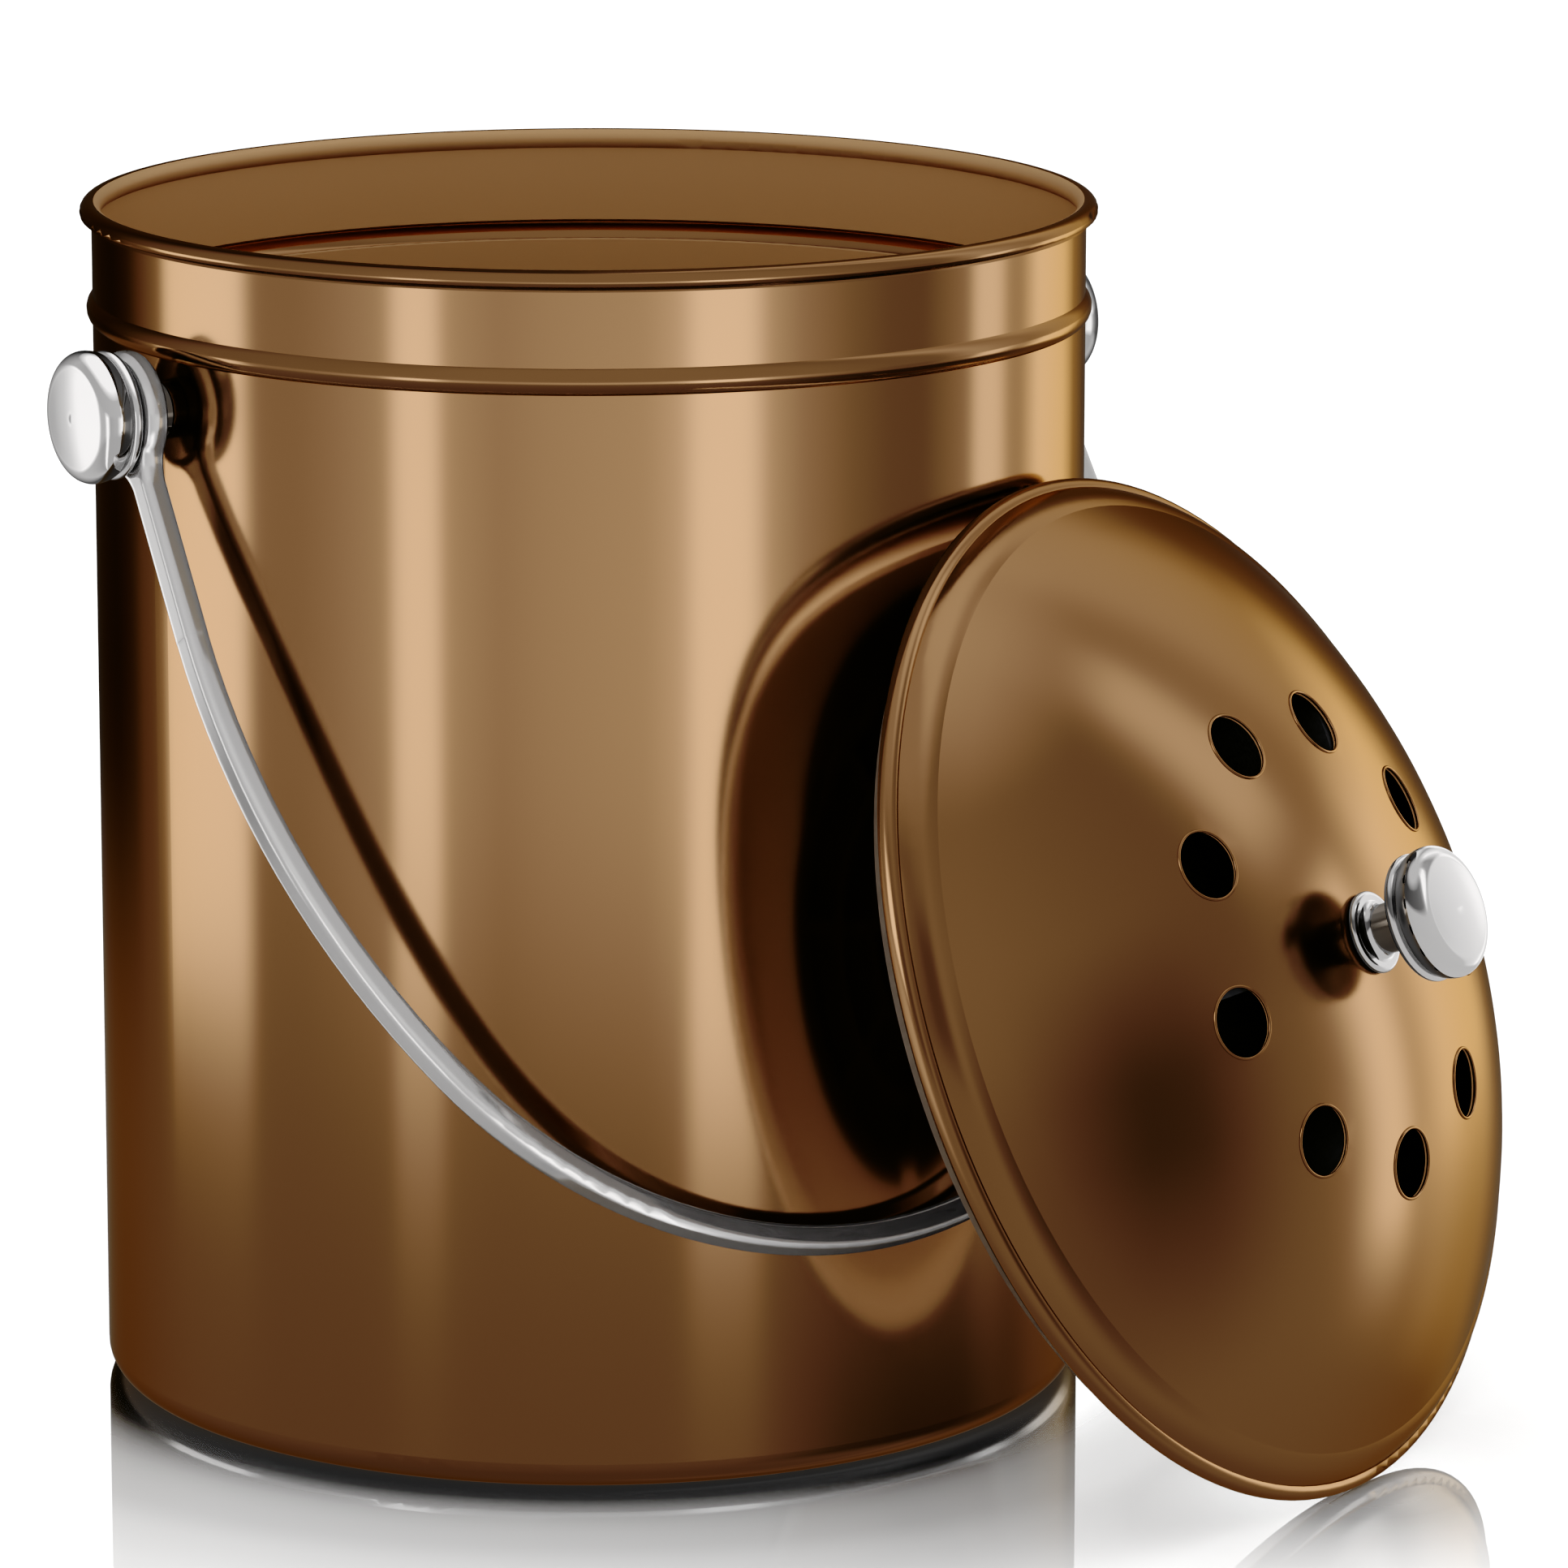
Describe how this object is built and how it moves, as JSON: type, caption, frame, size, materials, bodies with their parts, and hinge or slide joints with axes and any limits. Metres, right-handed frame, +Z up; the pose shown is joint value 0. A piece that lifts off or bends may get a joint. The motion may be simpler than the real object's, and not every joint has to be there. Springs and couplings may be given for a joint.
{
  "type": "countertop compost caddy",
  "caption": "Bronze-coated steel kitchen compost pail with a rolled rim, a chrome bail handle on two knobbed pivots, and a vented domed filter lid that leans against it.",
  "frame": {"origin": "centre of the ring that the pail stands on, on the floor", "axes": "+Z up along the pail's axis; X along the handle pivots' axis; the handle hangs against the -Y side, and the lid leans on the pail between -Y and +X"},
  "size_m": [0.2449, 0.2593, 0.216],
  "materials": {
    "bronze": "bronze coat on steel sheet, polished",
    "chrome": "polished",
    "stainless": "satin",
    "rubber": "matte",
    "silicone": "satin",
    "carrier_plastic": "matte",
    "charcoal": "matte"
  },
  "bodies": {
    "pail": {"pail_shell": "bronze", "pivot_post_left": "chrome", "pivot_post_right": "chrome", "handle_knob_left": "chrome", "handle_knob_right": "chrome", "pivot_washer_left": "rubber", "pivot_washer_right": "rubber", "pivot_screw_left": "stainless", "pivot_screw_right": "stainless", "screw_seal_left": "rubber", "screw_seal_right": "rubber"},
    "bail": {"bail_handle": "chrome"},
    "lid": {"lid_shell": "bronze", "lid_seal": "silicone", "lid_knob_stem": "chrome", "lid_knob": "chrome", "lid_screw": "stainless", "lid_washer": "stainless", "filter_carrier": "carrier_plastic", "charcoal_filter_upper": "charcoal", "charcoal_filter_lower": "charcoal", "filter_spacer": "carrier_plastic"},
    "grille": {"filter_grille": "carrier_plastic"}
  },
  "joints": [
    {"name": "lid_pull", "type": "slide", "parent": "pail", "child": "lid", "axis": [0.3853, -0.8455, 0.3697], "range_m": [0, 0.5]},
    {"name": "bail_swing", "type": "hinge", "parent": "pail", "child": "bail", "pos_m": [0, 0, 0.1851], "axis": [-1, 0, 0], "range_deg": [0, 293]},
    {"name": "grille_twist", "type": "hinge", "parent": "lid", "child": "grille", "pos_m": [0.05199, -0.11408, 0.08549], "axis": [0.3853, -0.8455, 0.3697], "range_deg": [0, 28]}
  ],
  "couplings": [
    {"joint": "bail_swing", "follows": "lid_pull", "rad_per_m": 10.2}
  ]
}
